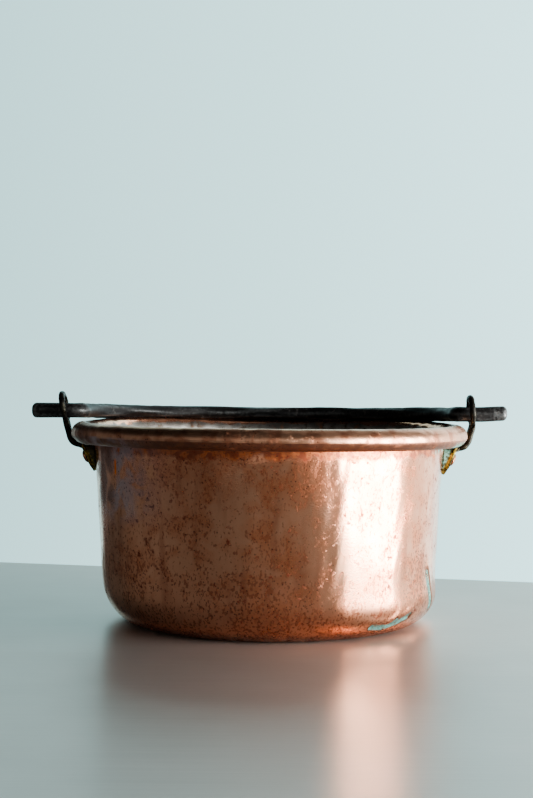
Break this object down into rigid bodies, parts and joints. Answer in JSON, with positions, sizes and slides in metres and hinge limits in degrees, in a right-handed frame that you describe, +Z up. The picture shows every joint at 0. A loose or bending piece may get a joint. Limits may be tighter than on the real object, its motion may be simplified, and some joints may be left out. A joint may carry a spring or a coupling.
{
  "type": "copper preserving pan",
  "caption": "Deep round copper pan with a rolled rim over an iron hoop, riveted bronze ring ears and a swinging wrought-iron bail handle",
  "frame": {"origin": "centre of the flat base, on the surface that the pan stands on", "axes": "+Z up, X through both ears along the bail's pins, the bail lies back towards +Y"},
  "size_m": [0.435, 0.36, 0.2081],
  "materials": {
    "copper_sheet": "old polished copper, mottled and dented",
    "hoop_iron": "plain iron rod, hidden",
    "ear_bronze": "dark patinated cast bronze, yellow where worn",
    "rivet_copper": "dull copper",
    "forged_iron": "black forged iron, rubbed grey on its high spots"
  },
  "bodies": {
    "pan": {"pan_shell": "copper_sheet", "rim_hoop": "hoop_iron", "ear_left": "ear_bronze", "ear_right": "ear_bronze", "rivet_left_front": "rivet_copper", "rivet_left_rear": "rivet_copper", "rivet_right_front": "rivet_copper", "rivet_right_rear": "rivet_copper"},
    "bail": {"bail": "forged_iron"}
  },
  "joints": [
    {"name": "bail_swing", "type": "hinge", "parent": "pan", "child": "bail", "pos_m": [0, 0, 0.1905], "axis": [1, 0, 0], "range_deg": [0, 182]}
  ]
}
